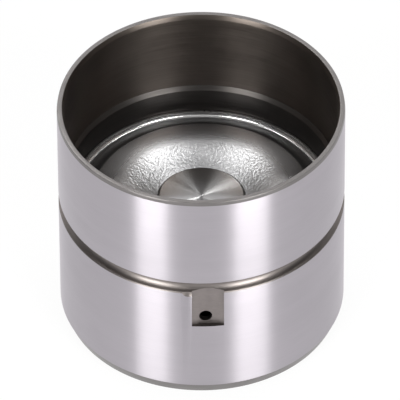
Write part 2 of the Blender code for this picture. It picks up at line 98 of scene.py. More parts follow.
class LifterSizes(bpy.types.PropertyGroup):
    crown: length("Crown", "Thickness of the crown under the cam", 3.0)
    lower_wall: length("Lower wall", "Skirt thickness below the step", 1.33)
    upper_wall: length("Upper wall", "Skirt thickness at the mouth", 0.85)
    floor_fillet: length("Floor fillet", "Fillet between crown and skirt, inside", 1.2)
    cam_edge_height: length("Cam edge height", "Height of the bevel round the cam face", 1.5)
    cam_edge_width: length("Cam edge width", "Width of the bevel round the cam face", 0.62)
    rim_bevel_height: length("Rim bevel height", "Height of the rim's outer bevel", 0.5)
    rim_bevel_width: length("Rim bevel width", "Width of the rim's outer bevel", 0.08)
    lead_in_height: length("Lead-in height", "Height of the bevel inside the mouth", 0.63)
    lead_in_width: length("Lead-in width", "Width of the bevel inside the mouth", 0.21)
    lower_bore_above_flange: length("Lower bore", "Reach of the lower bore above the flange", 3.2)
    groove_height: length("Groove height", "Height of the oil groove's middle", 17.55)
    groove_width: length("Groove width", "Width of the oil groove", 1.74)
    groove_depth: length("Groove depth", "Depth of the oil groove", 0.8)
    groove_edge: length("Groove edge", "Bevel at each edge of the oil groove", 0.12)
    pocket_width: length("Pocket width", "Width of the oil pocket", 3.9)
    pocket_depth: length("Pocket depth", "Depth of the oil pocket in its middle", 0.62)
    pocket_drop: length("Pocket drop", "Reach of the pocket below the groove's middle", 6.24)
    pocket_mill: length("Pocket mill", "Radius of the mill that cuts the pocket's floor", 9.0)
    pocket_angle: angle("Pocket angle", "Turn of the pocket from the front", 2.3)
    hole_diameter: length("Oil hole", "Diameter of the oil hole", 1.6)
    hole_rise: length("Oil hole rise", "Height of the hole above the pocket's ledge", 1.25)
    hole_angle: angle("Hole angle", "Turn of the oil hole from the front", 1.4)
    nick_radius: length("Nick radius", "Radius of the nick in the groove's lower edge", 1.8)
    nick_depth: length("Nick depth", "Depth of the nick", 0.2)
    nick_rise: length("Nick rise", "Height of the nick's middle above the edge", 0.3)
    nick_angle: angle("Nick angle", "Turn of the nick from the front", -5.6)
    recess_width: length("Recess width", "Width of the overflow recess", 2.4)
    recess_depth: length("Recess depth", "Depth of the overflow recess", 0.5)
    recess_corner: length("Recess corner", "Corner radius of the overflow recess", 0.125)
    recess_start: length("Recess start", "Start of the overflow recess from the axis", 2.0)
    recess_beyond: length("Recess beyond", "Reach of the recess beyond the sleeve", 1.9)
    flange_height: length("Flange height", "Height of the flange above the crown", 13.5)
    flange_thickness: length("Flange thickness", "Thickness of the upturned flange", 0.35)
    flange_wall: length("Flange wall", "Straight height of the flange", 0.25)
    flange_fillet: length("Flange fillet", "Fillet between flange and web", 0.35)
    flange_foot_bevel: length("Flange foot bevel", "Bevel below the flange", 0.4)
    web_thickness: length("Web thickness", "Thickness of the web", 1.3)
    crest_rise: length("Crest rise", "Height of the crest above the valley", 0.80)
    crest_radius: length("Crest radius", "Distance of the crest from the axis", 13.3)
    dome_round: length("Dome round", "Radius of the web's curve inside the crest", 13.0)
    cone_angle: angle("Cone angle", "Slope of the web's cone towards the mouth", 26.0)
    mouth_round: length("Mouth round", "Radius of the mouth's edge", 0.8)
    grain_reach: length("Grain reach", "Distance from the axis where the drawn grain ends", 10.6)
    grain_fade: length("Grain fade", "Width over which the grain grows to its full depth", 3.0)
    grain_depth: length("Grain depth", "Depth of the drawn grain at the mouth", 0.030)
    sleeve_bore: length("Sleeve bore", "Radius of the sleeve's bore", 5.55)
    sleeve_wall: length("Sleeve wall", "Thickness of the sleeve", 1.35)
    face_bevel: length("Face bevel", "Bevel round the valve end", 0.35)
    housing_end: length("Housing end", "Thickness of the closed valve end", 1.8)
    end_bevel: length("End bevel", "Bevel round the open end", 0.2)
    ring_groove_depth: length("Ring groove depth", "Depth of the retaining ring's groove", 0.35)
    piston_head: length("Piston head", "Thickness of the piston's head", 2.2)
    piston_bevel: length("Piston bevel", "Bevel round the piston's ends", 0.25)
    reservoir: length("Reservoir", "Diameter of the oil reservoir in the piston", 5.8)
    oil_bore: length("Oil bore", "Diameter of the oil bore in the piston", 1.4)
    seat: length("Ball seat", "Diameter of the ball seat", 2.3)
    foot_slot_width: length("Foot slot width", "Width of the slot across the piston's foot", 1.2)
    foot_slot_depth: length("Foot slot depth", "Depth of the slot across the piston's foot", 0.6)
    foot_slot_corner: length("Foot slot corner", "Corner radius of the slot", 0.1)
    cap_sheet: length("Cap sheet", "Sheet thickness of the valve cap", 0.25)
    cap_side_room: length("Cap side room", "Room between ball and cage", 0.3)
    cap_spring_room: length("Cap spring room", "Height of the cap's ceiling above its dimple", 0.35)
    cap_bend: length("Cap bend", "Bend radius of the valve cap", 0.2)
    cap_dimple: length("Cap dimple", "Diameter of the dimple that stops the ball", 0.8)
    cap_window: length("Cap window", "Diameter of the windows in the cage", 0.9)
    cap_windows: number_of("Cap windows", "Number of windows round the cage", 4)
    ball_wire: length("Ball spring wire", "Wire diameter of the ball spring", 0.15)
    ball_spring_turns: winding("Ball spring turns", "Turns of the ball spring", 2.5)
    return_wire: length("Return spring wire", "Wire diameter of the return spring", 0.6)
    return_spring_turns: winding("Return spring turns", "Turns of the return spring", 3.5)
    closed_turns: winding("Closed turns", "Closed turns at each end of the return spring", 0.75)
    closed_gap: length("Closed gap", "Gap between closed turns of the return spring", 0.08)
    ring_opening: angle("Ring opening", "Opening between the retaining ring's ends", 24.0)
    gap: length("Gap", "Clearance between a piece and its seat or bore", 0.05)
    edge_round: length("Edge round", "Reach of the small rounding on turned edges", 0.05)


class LifterColours(bpy.types.PropertyGroup):
    ground: colour("Ground wall", "Steel of the ground skirt", (0.482, 0.453, 0.490))
    rim: colour("Rim", "Turned rim and bevels", (0.20, 0.188, 0.186))
    bore: colour("Bore", "Dark bore inside the skirt", (0.125, 0.106, 0.094))
    lower_bore: colour("Lower bore", "Bore below the step", (0.075, 0.069, 0.066))
    groove: colour("Groove", "Dark turned oil groove and its nick", (0.215, 0.193, 0.185))
    milled: colour("Milled", "Milled pocket and oil hole", (0.148, 0.132, 0.129))
    crown: colour("Crown", "Lapped cam face", (0.46, 0.44, 0.45))
    web: colour("Web", "Drawn and turned web", (0.495, 0.492, 0.505))
    flange: colour("Flange", "Upturned flange in the bore", (0.40, 0.39, 0.39))
    # Painted shade: the valley's steel is darkened to stand for the shade and dark reflection between
    # crest and fillet.
    valley: colour("Valley", "Dark valley between crest and fillet", (0.13, 0.127, 0.128))
    # Painted highlight: the fillet's steel is brighter than steel can be, standing for the bright ring
    # of light it catches.
    fillet: colour("Fillet", "Burnished fillet beside the flange", (0.96, 0.95, 0.96))
    face: colour("Valve end", "Turned valve end of the element", (0.46, 0.456, 0.462))
    lapped: colour("Lapped", "Lapped piston and bores", (0.46, 0.45, 0.45))
    ball: colour("Ball", "Polished check ball", (0.62, 0.61, 0.61))
    sheet: colour("Sheet", "Pressed valve cap", (0.40, 0.385, 0.37))
    wire: colour("Wire", "Return spring wire", (0.30, 0.285, 0.275))
    fine_wire: colour("Fine wire", "Check ball spring wire", (0.45, 0.44, 0.42))
    ring: colour("Ring", "Dark retaining ring", (0.16, 0.15, 0.14))
    floor: colour("Floor", "Plain pale floor", (0.9, 0.9, 0.9))
    lamps: colour("Lamps", "Light of the softboxes", (0.995, 1.0, 0.98))


class LifterView(bpy.types.PropertyGroup):
    elevation: angle("Elevation", "Camera's height above the horizon", 42.335)
    roll: angle("Roll", "Tilt of the picture, anticlockwise", 0.333)
    distance: FloatProperty(name="Distance", description="Camera to the middle of the lifter",
                            default=1.0, min=0.1, unit="LENGTH")
    pixels_per_metre: FloatProperty(name="Scale", description="Picture scale at the lifter",
                                    default=8165.1, min=1.0)
    picture_side: IntProperty(name="Picture side", description="Side of the picture in pixels",
                              default=400, min=16, subtype="PIXEL")
    aim_right: FloatProperty(name="Aim right", description="Aim beside the lifter's middle",
                             default=-0.187 * MM, precision=5, unit="LENGTH")
    aim_up: FloatProperty(name="Aim up", description="Aim above the lifter's middle",
                          default=0.271 * MM, precision=5, unit="LENGTH")
    floor_reach: FloatProperty(name="Floor reach", description="Half the side of the floor",
                               default=3.0, min=0.1, unit="LENGTH")
    floor_white: FloatProperty(name="Floor white", description="Share of plain white in the floor",
                               default=0.92, min=0.0, max=1.0, subtype="FACTOR")
    turned_sides: number_of("Turned sides", "Facets round a turned piece", 288, 24)
    web_sides: number_of("Web sides", "Facets round the web, which carries the fine grain", 432, 24)
    small_sides: number_of("Small sides", "Facets round a small turned piece", 144, 24)
    ball_sides: number_of("Ball sides", "Facets round the ball, half as many over its height", 64, 24)


def sizes():
    """The lifter's sizes as they are set now."""
    return bpy.context.scene.lifter_sizes


def colours():
    """The lifter's colours as they are set now."""
    return bpy.context.scene.lifter_colours


# Shader helpers

# The Mix node's colour sockets, which share their names with its number sockets
MIX_FACTOR, MIX_DARK, MIX_LIGHT, MIX_RESULT = 0, 6, 7, 2
# Most values of a noise texture lie in this range
NOISE_RANGE = (0.3, 0.7)
QUARTER_TURN = 0.25
# How far a plain steel's roughness runs to both sides, and how much broader its clouds are
PLAIN_SPREAD = 0.15
CLOUDS_OVER_GRAIN = 8

Spot = namedtuple("Spot", "place x y z radius")


def link_or_set(tree, socket, value):
    if isinstance(value, bpy.types.NodeSocket):
        tree.links.new(value, socket)
    else:
        socket.default_value = value


def shader_node(tree, kind, settings=None, **sockets):
    node = tree.nodes.new(kind)
    for key, value in (settings or {}).items():
        setattr(node, key, value)
    for key, value in sockets.items():
        link_or_set(tree, node.inputs[key.replace("_", " ")], value)
    return node


def arithmetic(tree, operation, *values):
    node = shader_node(tree, "ShaderNodeMath", {"operation": operation})
    for socket, value in zip(node.inputs, values):
        link_or_set(tree, socket, value)
    return node.outputs[0]


def weighed(tree, *parts):
    """The sum of the parts, each given with its weight."""
    weighted = [arithmetic(tree, "MULTIPLY", part, weight) for part, weight in parts]
    total = weighted[0]
    for part in weighted[1:]:
        total = arithmetic(tree, "ADD", total, part)
    return total


def ranged(tree, value, source, target, smooth=False):
    """The value carried from the source range to the target range and held at its ends."""
    kind = {"interpolation_type": "SMOOTHSTEP"} if smooth else {}
    node = shader_node(tree, "ShaderNodeMapRange", kind, Value=value)
    names = ("From Min", "From Max", "To Min", "To Max")
    for name, number in zip(names, (*source, *target)):
        node.inputs[name].default_value = number
    return node.outputs[0]


def place_in_millimetres(tree):
    place = tree.nodes.new("ShaderNodeTexCoord").outputs["Object"]
    scaled = shader_node(tree, "ShaderNodeVectorMath", {"operation": "SCALE"}, Vector=place)
    scaled.inputs["Scale"].default_value = 1 / MM
    return scaled.outputs[0]


def spot_in_millimetres(tree):
    """The surface's own place, its parts x, y and z, and its distance from the axis."""
    place = place_in_millimetres(tree)
    x, y, z = shader_node(tree, "ShaderNodeSeparateXYZ", Vector=place).outputs
    flat = arithmetic(tree, "ADD", arithmetic(tree, "MULTIPLY", x, x),
                      arithmetic(tree, "MULTIPLY", y, y))
    return Spot(place, x, y, z, arithmetic(tree, "SQRT", flat))


def noise(tree, vector, scale=1.0, detail=2.0, roughness=0.5):
    node = shader_node(tree, "ShaderNodeTexNoise", Vector=vector, Scale=scale, Detail=detail,
                       Roughness=roughness)
    return node.outputs[0]


def stretched_noise(tree, parts, factors, detail=2.0):
    """Noise drawn out along each part with a small factor and packed along the others."""
    vector = shader_node(tree, "ShaderNodeCombineXYZ")
    for socket, part, factor in zip(vector.inputs, parts, factors):
        tree.links.new(arithmetic(tree, "MULTIPLY", part, factor), socket)
    return noise(tree, vector.outputs[0], detail=detail)


def round_lines(tree, spot, side, along, across, detail=2.0):
    """Noise drawn out round the axis and packed from line to line over the given side."""
    return stretched_noise(tree, (spot.x, spot.y, side), (along, along, across), detail)


def tinted(tree, rgb, amount, factor):
    """The colour, made darker and lighter by the amount as the factor runs from 0 to 1."""
    mix = shader_node(tree, "ShaderNodeMix", {"data_type": "RGBA"})
    tree.links.new(factor, mix.inputs[MIX_FACTOR])
    for socket, strength in ((MIX_DARK, 1 - amount), (MIX_LIGHT, 1 + amount)):
        channels = [min(1.0, channel * strength) for channel in rgb]
        mix.inputs[socket].default_value = (*channels, 1.0)
    return mix.outputs[MIX_RESULT]


def bump(tree, height, depth, normal=None):
    """Relief of the given depth in millimetres over a height that runs from 0 to 1."""
    node = shader_node(tree, "ShaderNodeBump", Strength=1.0, Distance=depth * MM, Height=height)
    if normal is not None:
        tree.links.new(normal, node.inputs["Normal"])
    return node.outputs[0]


def steel(name, anisotropy=0.0):
    """A metal whose grain, if any, runs round the lifter's axis and spreads light across itself."""
    material = bpy.data.materials.new(name)
    material.use_nodes = True
    tree = material.node_tree
    inputs = tree.nodes["Principled BSDF"].inputs
    inputs["Metallic"].default_value = 1.0
    inputs["Anisotropic"].default_value = anisotropy
    if anisotropy:
        inputs["Anisotropic Rotation"].default_value = QUARTER_TURN
        tangent = shader_node(tree, "ShaderNodeTangent", {"direction_type": "RADIAL", "axis": "Z"})
        tree.links.new(tangent.outputs[0], inputs["Tangent"])
    return material, tree


def surfaced(material, tint, roughness, relief):
    """Link the steel's colour, roughness and relief, and hand the material back."""
    tree = material.node_tree
    inputs = tree.nodes["Principled BSDF"].inputs
    for name, socket in (("Base Color", tint), ("Roughness", roughness), ("Normal", relief)):
        tree.links.new(socket, inputs[name])
    return material


# Finishes, whose noise factors are per millimetre and whose relief is in millimetres

def ground_wall_finish():
    """Centreless ground skirt: fine lines round it, with faint bands where the wheel dwelt."""
    material, tree = steel("ground_wall", anisotropy=1.0)
    spot = spot_in_millimetres(tree)
    fine = round_lines(tree, spot, spot.z, along=0.35, across=14.0, detail=3.0)
    bands = round_lines(tree, spot, spot.z, along=0.02, across=0.8)
    wear = round_lines(tree, spot, spot.z, along=0.18, across=0.35)
    both = weighed(tree, (fine, 0.6), (bands, 0.4))
    tint = tinted(tree, colours().ground, amount=0.10, factor=both)
    roughness = ranged(tree, wear, NOISE_RANGE, (0.30, 0.32))
    return surfaced(material, tint, roughness, bump(tree, fine, depth=0.0012))


def rim_finish():
    """Turned rim and bevels: short lines round the edge."""
    material, tree = steel("turned_rim", anisotropy=0.2)
    spot = spot_in_millimetres(tree)
    over_edge = arithmetic(tree, "ADD", spot.radius, spot.z)
    lines = round_lines(tree, spot, over_edge, along=0.5, across=9.0, detail=3.0)
    patches = noise(tree, spot.place, scale=0.35)
    roughness = ranged(tree, lines, NOISE_RANGE, (0.28, 0.42))
    tint = tinted(tree, colours().rim, amount=0.16, factor=patches)
    return surfaced(material, tint, roughness, bump(tree, lines, depth=0.002))


def bore_finish(name, rgb):
    """Dark bore or groove left by heat treatment and a single cut."""
    material, tree = steel(name, anisotropy=0.7)
    spot = spot_in_millimetres(tree)
    lines = round_lines(tree, spot, spot.z, along=0.12, across=5.0, detail=3.0)
    clouds = noise(tree, spot.place, scale=0.12, detail=3.0)
    both = weighed(tree, (lines, 0.5), (clouds, 0.5))
    tint = tinted(tree, rgb, amount=0.35, factor=both)
    roughness = ranged(tree, lines, NOISE_RANGE, (0.30, 0.42))
    return surfaced(material, tint, roughness, bump(tree, lines, depth=0.0025))


def milled_finish():
    """Pocket and oil hole as the cutter left them, with a faint brown oil film in patches, and painted
    shade that darkens the faces turned up, the ledge most.
    """
    material, tree = steel("milled_pocket")
    spot = spot_in_millimetres(tree)
    swirl = round_lines(tree, spot, spot.z, along=1.4, across=4.0, detail=3.0)
    film = noise(tree, spot.place, scale=0.9)
    normal = tree.nodes.new("ShaderNodeTexCoord").outputs["Normal"]
    facing_up = shader_node(tree, "ShaderNodeSeparateXYZ", Vector=normal).outputs["Z"]
    # Painted shade: faces turned up, the pocket's ledge most, get the darker colour.
    painted_ledge_shade = ranged(tree, facing_up, (0.2, 0.8), (0.7, 0.0), smooth=True)
    both = weighed(tree, (painted_ledge_shade, 1.0), (film, 0.3))
    tint = tinted(tree, colours().milled, amount=0.80, factor=both)
    roughness = ranged(tree, swirl, NOISE_RANGE, (0.34, 0.52))
    return surfaced(material, tint, roughness, bump(tree, swirl, depth=0.006))


def crown_finish():
    """Lapped cam face with crossing fine scratches."""
    material, tree = steel("lapped_crown")
    spot = spot_in_millimetres(tree)
    parts = (spot.x, spot.y, spot.z)
    scratch = stretched_noise(tree, parts, (0.4, 12.0, 1.0))
    cross = stretched_noise(tree, parts, (12.0, 0.4, 1.0))
    both = weighed(tree, (scratch, 0.5), (cross, 0.5))
    roughness = ranged(tree, both, (0.35, 0.65), (0.16, 0.26))
    tint = tinted(tree, colours().crown, amount=0.08, factor=both)
    return surfaced(material, tint, roughness, bump(tree, both, depth=0.001))


def web_finish():
    """Drawn web: turned lines near the flange, drawn orange peel towards the mouth."""
    material, tree = steel("drawn_web", anisotropy=0.5)
    spot = spot_in_millimetres(tree)
    lines = round_lines(tree, spot, spot.radius, along=0.25, across=7.0, detail=3.0)
    grain = noise(tree, spot.place, scale=3.2, roughness=0.6)
    clouds = noise(tree, spot.place, scale=0.35)
    towards_mouth = ranged(tree, spot.radius, (12.3, 8.5), (0.0, 1.0), smooth=True)
    towards_flange = arithmetic(tree, "SUBTRACT", 1.0, towards_mouth)
    drawn = ranged(tree, towards_mouth, (0.0, 1.0), (0.26, 0.34))
    burnished = ranged(tree, spot.radius, (13.8, 15.0), (0.0, 0.10), smooth=True)
    roughness = arithmetic(tree, "SUBTRACT", drawn, burnished)
    line_relief = bump(tree, arithmetic(tree, "MULTIPLY", lines, towards_flange), depth=0.003)
    grain_height = arithmetic(tree, "MULTIPLY", grain, towards_mouth)
    relief = bump(tree, grain_height, depth=0.06, normal=line_relief)
    tint = tinted(tree, colours().web, amount=0.14, factor=clouds)
    return surfaced(material, tint, roughness, relief)


def face_finish():
    """Faced valve end: rings left by the tool."""
    material, tree = steel("turned_face", anisotropy=1.0)
    spot = spot_in_millimetres(tree)
    rings = round_lines(tree, spot, spot.radius, along=0.2, across=9.0, detail=3.0)
    roughness = ranged(tree, rings, NOISE_RANGE, (0.18, 0.20))
    tint = tinted(tree, colours().face, amount=0.10, factor=rings)
    return surfaced(material, tint, roughness, bump(tree, rings, depth=0.002))


def plain_steel_finish(rgb, name, roughness, grain, depth):
    """Steel with an even fine grain and broad faint clouds."""
    material, tree = steel(name)
    place = place_in_millimetres(tree)
    fine = noise(tree, place, scale=grain, detail=3.0)
    clouds = noise(tree, place, scale=grain / CLOUDS_OVER_GRAIN)
    smoother, rougher = roughness * (1 - PLAIN_SPREAD), roughness * (1 + PLAIN_SPREAD)
    tint = tinted(tree, rgb, amount=0.10, factor=clouds)
    uneven = ranged(tree, fine, NOISE_RANGE, (smoother, rougher))
    return surfaced(material, tint, uneven, bump(tree, fine, depth))


FINISHES = {
    "ground": ground_wall_finish,
    "rim": rim_finish,
    "bore": lambda: bore_finish("dark_bore", colours().bore),
    "lower_bore": lambda: bore_finish("dark_lower_bore", colours().lower_bore),
    "groove": lambda: bore_finish("dark_groove", colours().groove),
    "milled": milled_finish,
    "crown": crown_finish,
    "web": web_finish,
    "face": face_finish,
}
# Material name, roughness, grain per millimetre and relief, under the name of the steel's colour
PLAIN_STEELS = {
    "flange": ("flange_steel", 0.30, 5.0, 0.001),
    # The valley's dark colour is painted shade.
    "valley": ("valley_steel", 0.48, 5.0, 0.001),
    # The fillet's bright colour is a painted highlight.
    "fillet": ("burnished_fillet", 0.22, 5.0, 0.001),
    "lapped": ("lapped_steel", 0.18, 6.0, 0.001),
    "ball": ("polished_ball", 0.06, 4.0, 0.0002),
    "sheet": ("pressed_sheet", 0.34, 5.0, 0.003),
    "wire": ("spring_wire", 0.30, 5.0, 0.003),
    "fine_wire": ("fine_wire", 0.28, 8.0, 0.001),
    "ring": ("ring_wire", 0.34, 5.0, 0.003),
}
made_finishes = {}


def finish(name):
    """The named finish, made when it is first asked for."""
    if name not in made_finishes:
        if name in PLAIN_STEELS:
            made = plain_steel_finish(getattr(colours(), name), *PLAIN_STEELS[name])
        else:
            made = FINISHES[name]()
        made_finishes[name] = made
    return made_finishes[name]


# Mesh helpers

# The least turn of an outline that is rounded, and the most of a side that a rounding takes
CLEAR_CORNER = math.radians(12)
ROUNDED_SHARE = 0.4
# Where the points of a rounding lie along its curve
ROUNDING_STEPS = (0.0, 0.3, 0.7, 1.0)
MILL_STEPS = 32
# A cutter that goes right through is this many walls or radii long
THROUGH = 4


def alike(kind, places):
    """Outline points that all have one finish."""
    return [(radius, z, kind) for radius, z in places]


def arc(centre, radii, start, end, steps, kind):
    """Outline points on an ellipse arc, angles in degrees from the outward direction."""
    points = []
    for step in range(steps + 1):
        turn = math.radians(start + (end - start) * step / steps)
        points.append((centre[0] + radii[0] * math.cos(turn),
                       centre[1] + radii[1] * math.sin(turn), kind))
    return points


def eased(start, end, steps, kind):
    """Outline points on a curve that leaves start level and arrives level at end."""
    points = []
    for step in range(1, steps):
        share = step / steps
        rise = (1 - math.cos(math.pi * share)) / 2
        points.append((start[0] + (end[0] - start[0]) * share,
                       start[1] + (end[1] - start[1]) * rise, kind))
    return points


def softened(outline, reach, closed=False):
    """The outline with each clear corner off the axis cut back by reach and rounded."""
    count = len(outline)
    points = []
    for index, (radius, z, kind) in enumerate(outline):
        at_end = not closed and index in (0, count - 1)
        before, after = outline[index - 1], outline[(index + 1) % count]
        into = Vector((radius - before[0], z - before[1]))
        out = Vector((after[0] - radius, after[1] - z))
        if at_end or radius == 0 or into.angle(out, 0.0) < CLEAR_CORNER:
            points.append((radius, z, kind))
            continue
        corner = Vector((radius, z))
        start = corner - into.normalized() * min(reach, into.length * ROUNDED_SHARE)
        end = corner + out.normalized() * min(reach, out.length * ROUNDED_SHARE)
        for share in ROUNDING_STEPS:
            spot = start.lerp(corner, share).lerp(corner.lerp(end, share), share)
            points.append((spot.x, spot.y, before[2] if share < 0.5 else kind))
    return points


def turned(name, outline, sides, closed=False):
    """Spin an outline of (radius, z, finish) about Z; a point's finish is that of the face after it."""
    vertices, rings = [], []
    for radius, z, _ in outline:
        if radius == 0:
            rings.append([len(vertices)] * sides)
            vertices.append((0.0, 0.0, z))
            continue
        rings.append(list(range(len(vertices), len(vertices) + sides)))
        for side in range(sides):
            turn = 2 * math.pi * side / sides
            vertices.append((radius * math.cos(turn), radius * math.sin(turn), z))
    kinds = list(dict.fromkeys(kind for _, _, kind in outline))
    faces, slots = [], []
    for index in range(len(outline) if closed else len(outline) - 1):
        first, second = rings[index], rings[(index + 1) % len(outline)]
        for side in range(sides):
            after = (side + 1) % sides
            corners = dict.fromkeys((first[side], second[side], second[after], first[after]))
            faces.append(tuple(corners))
            slots.append(kinds.index(outline[index][2]))
    mesh = bpy.data.meshes.new(name)
    mesh.from_pydata(vertices, [], faces)
    for kind in kinds:
        mesh.materials.append(finish(kind))
    mesh.polygons.foreach_set("material_index", slots)
    smooth(mesh)
    return add_piece(name, mesh)


def smooth(mesh, sharp_above=35.0):
    mesh.shade_smooth()
    mesh.set_sharp_from_angle(angle=math.radians(sharp_above))


def add_piece(name, mesh):
    piece = bpy.data.objects.new(name, mesh)
    bpy.context.scene.collection.objects.link(piece)
    return piece


def baked(piece):
    """Replace the piece's mesh by its evaluated one, with the modifiers done."""
    bpy.context.view_layer.update()
    evaluated = piece.evaluated_get(bpy.context.evaluated_depsgraph_get())
    mesh = bpy.data.meshes.new_from_object(evaluated)
    piece.modifiers.clear()
    piece.data = mesh
    smooth(mesh)


def cutter_from(name, shape, kind):
    mesh = bpy.data.meshes.new(name)
    shape.to_mesh(mesh)
    shape.free()
    mesh.materials.append(finish(kind))
    return add_piece(name, mesh)


def box_cutter(name, size, corner, kind):
    """A box about its origin, with the four edges along its own Y rounded."""
    shape = bmesh.new()
    bmesh.ops.create_cube(shape, size=1.0)
    bmesh.ops.scale(shape, vec=Vector(size), verts=shape.verts)
    along_y = [edge for edge in shape.edges
               if abs(edge.verts[0].co.y - edge.verts[1].co.y) > size[1] / 2]
    bmesh.ops.bevel(shape, geom=along_y, offset=corner, segments=6, profile=0.5, affect="EDGES")
    return cutter_from(name, shape, kind)


def mill_cutter(name, size, mill_radius, kind):
    """A block with flat ends that reaches size[1] to both sides, inwards as round as its mill."""
    width, depth, height = size
    outline = [(-width / 2, -depth), (width / 2, -depth)]
    for step in range(MILL_STEPS + 1):
        x = width / 2 - width * step / MILL_STEPS
        outline.append((x, depth - mill_radius + math.sqrt(mill_radius ** 2 - x ** 2)))
    shape = bmesh.new()
    foot = shape.faces.new([shape.verts.new((x, y, -height / 2)) for x, y in outline])
    raised = bmesh.ops.extrude_face_region(shape, geom=[foot], use_keep_orig=True)["geom"]
    top = [vertex for vertex in raised if isinstance(vertex, bmesh.types.BMVert)]
    bmesh.ops.translate(shape, vec=Vector((0.0, 0.0, height)), verts=top)
    bmesh.ops.recalc_face_normals(shape, faces=shape.faces)
    return cutter_from(name, shape, kind)


def ball_cutter(name, radius, kind):
    shape = bmesh.new()
    bmesh.ops.create_uvsphere(shape, u_segments=128, v_segments=64, radius=radius)
    return cutter_from(name, shape, kind)


def rod_cutter(name, diameter, reach, kind):
    """A rod along its own Y, centred on its origin."""
    shape = bmesh.new()
    bmesh.ops.create_cone(shape, cap_ends=True, segments=48, radius1=diameter / 2,
                          radius2=diameter / 2, depth=reach)
    bmesh.ops.rotate(shape, matrix=Matrix.Rotation(math.pi / 2, 3, "X"), verts=shape.verts)
    return cutter_from(name, shape, kind)


def on_skirt(cutter, turn, distance, z):
    """Set the cutter at a distance from the axis, turned from the front, and hand it back."""
    cutter.location = (distance * math.sin(turn), -distance * math.cos(turn), z)
    cutter.rotation_euler.z = turn
    return cutter


def cut_by(piece, cutters):
    """Cut the piece by each cutter, which leaves its finish on the cut, and drop the cutters."""
    for cutter in cutters:
        boolean = piece.modifiers.new(cutter.name, "BOOLEAN")
        boolean.operation = "DIFFERENCE"
        boolean.solver = "EXACT"
        boolean.material_mode = "TRANSFER"
        boolean.object = cutter
    baked(piece)
    for cutter in cutters:
        bpy.data.objects.remove(cutter, do_unlink=True)


def wound(name, points, wire, kind):
    """A round wire through the points as a closed mesh."""
    curve = bpy.data.curves.new(name, "CURVE")
    curve.dimensions = "3D"
    curve.bevel_depth = wire / 2
    curve.bevel_resolution = 5
    curve.use_fill_caps = True
    spline = curve.splines.new("POLY")
    spline.points.add(len(points) - 1)
    for place, point in zip(spline.points, points):
        place.co = (*point, 1.0)
    guide = add_piece(name + "_guide", curve)
    bpy.context.view_layer.update()
    evaluated = guide.evaluated_get(bpy.context.evaluated_depsgraph_get())
    mesh = bpy.data.meshes.new_from_object(evaluated)
    bpy.data.objects.remove(guide, do_unlink=True)
    shape = bmesh.new()
    shape.from_mesh(mesh)
    bmesh.ops.remove_doubles(shape, verts=shape.verts, dist=0.001 * MM)
    shape.to_mesh(mesh)
    shape.free()
    mesh.materials.clear()
    mesh.materials.append(finish(kind))
    smooth(mesh)
    return add_piece(name, mesh)


def helix(radius, low, high, turns, per_turn, closed_turns=0.0, closed_rise=0.0):
    """Coil points from low to high, whose end turns rise by closed_rise a turn."""
    active = turns - 2 * closed_turns
    active_rise = (high - low - 2 * closed_turns * closed_rise) / active
    count = round(turns * per_turn)
    points = []
    for index in range(count + 1):
        turn = turns * index / count
        ends = min(turn, closed_turns) + max(turn - closed_turns - active, 0.0)
        z = low + ends * closed_rise + (turn - ends) * active_rise
        around = 2 * math.pi * turn
        points.append((radius * math.cos(around), radius * math.sin(around), z))
    return points


def dressed(piece, body, node):
    """Seat a fine piece on its body in place of the plain solid."""
    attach(piece, body)
    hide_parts(node)


def shortened_by(spring):
    """Give the spring a mesh of its own."""
    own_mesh(spring)


class LifterOperator:
    """What the operators share."""
    bl_options = {"REGISTER", "UNDO"}


class LIFTER_OT_bucket(LifterOperator, bpy.types.Operator):
    """Turn the bucket, then cut its oil pocket, oil hole, nick and overflow recess"""
    bl_idname = "lifter.bucket"
    bl_label = "Bucket"

    def execute(self, context):
        s = sizes()
        sides = context.scene.lifter_view.turned_sides
        radius, top = BUCKET_HIGH.x, BUCKET_HIGH.z
        lower, upper = radius - s.lower_wall, radius - s.upper_wall
        step = s.crown + s.flange_height + s.lower_bore_above_flange
        groove = arc((radius, s.groove_height), (s.groove_depth, s.groove_width / 2 - s.groove_edge),
                     90, 270, steps=20, kind="groove")
        outline = [(0.0, s.crown, "lower_bore")]
        outline += arc((lower - s.floor_fillet, s.crown + s.floor_fillet),
                       (s.floor_fillet, s.floor_fillet), -90, 0, steps=8, kind="lower_bore")
        outline += [
            (lower, step, "lower_bore"),
            (upper, step + upper - lower, "bore"),
            (upper, top - s.lead_in_height, "bore"),
            (upper + s.lead_in_width, top, "rim"),
            (radius - s.rim_bevel_width, top, "rim"),
            (radius, top - s.rim_bevel_height, "ground"),
            (radius, s.groove_height + s.groove_width / 2, "groove"),
        ]
        outline += groove[1:-1]
        outline += [
            (radius, s.groove_height - s.groove_width / 2, "ground"),
            (radius, s.cam_edge_height, "rim"),
            (radius - s.cam_edge_width, 0.0, "crown"),
            (0.0, 0.0, "crown"),
        ]
        bucket = turned("ground_bucket", softened(outline, s.edge_round), sides)

        pocket_size = (s.pocket_width, s.pocket_depth, s.pocket_drop)
        pocket = mill_cutter("pocket_cutter", pocket_size, s.pocket_mill, "milled")
        on_skirt(pocket, s.pocket_angle, radius, s.groove_height - s.pocket_drop / 2)
        hole = rod_cutter("hole_cutter", s.hole_diameter, THROUGH * s.lower_wall, "milled")
        on_skirt(hole, s.hole_angle, radius, s.groove_height - s.pocket_drop + s.hole_rise)
        recess_end = s.sleeve_bore + s.sleeve_wall + s.recess_beyond
        recess_size = (s.recess_width, recess_end - s.recess_start, 2 * s.recess_depth)
        recess = box_cutter("recess_cutter", recess_size, s.recess_corner, "bore")
        on_skirt(recess, math.pi, (recess_end + s.recess_start) / 2, s.crown)
        nick = ball_cutter("nick_cutter", s.nick_radius, "groove")
        on_skirt(nick, s.nick_angle, radius - s.nick_depth + s.nick_radius,
                 s.groove_height - s.groove_width / 2 + s.nick_rise)
        cut_by(bucket, [pocket, hole, nick, recess])
        dressed(bucket, "bucket", "bucket")
        return {"FINISHED"}


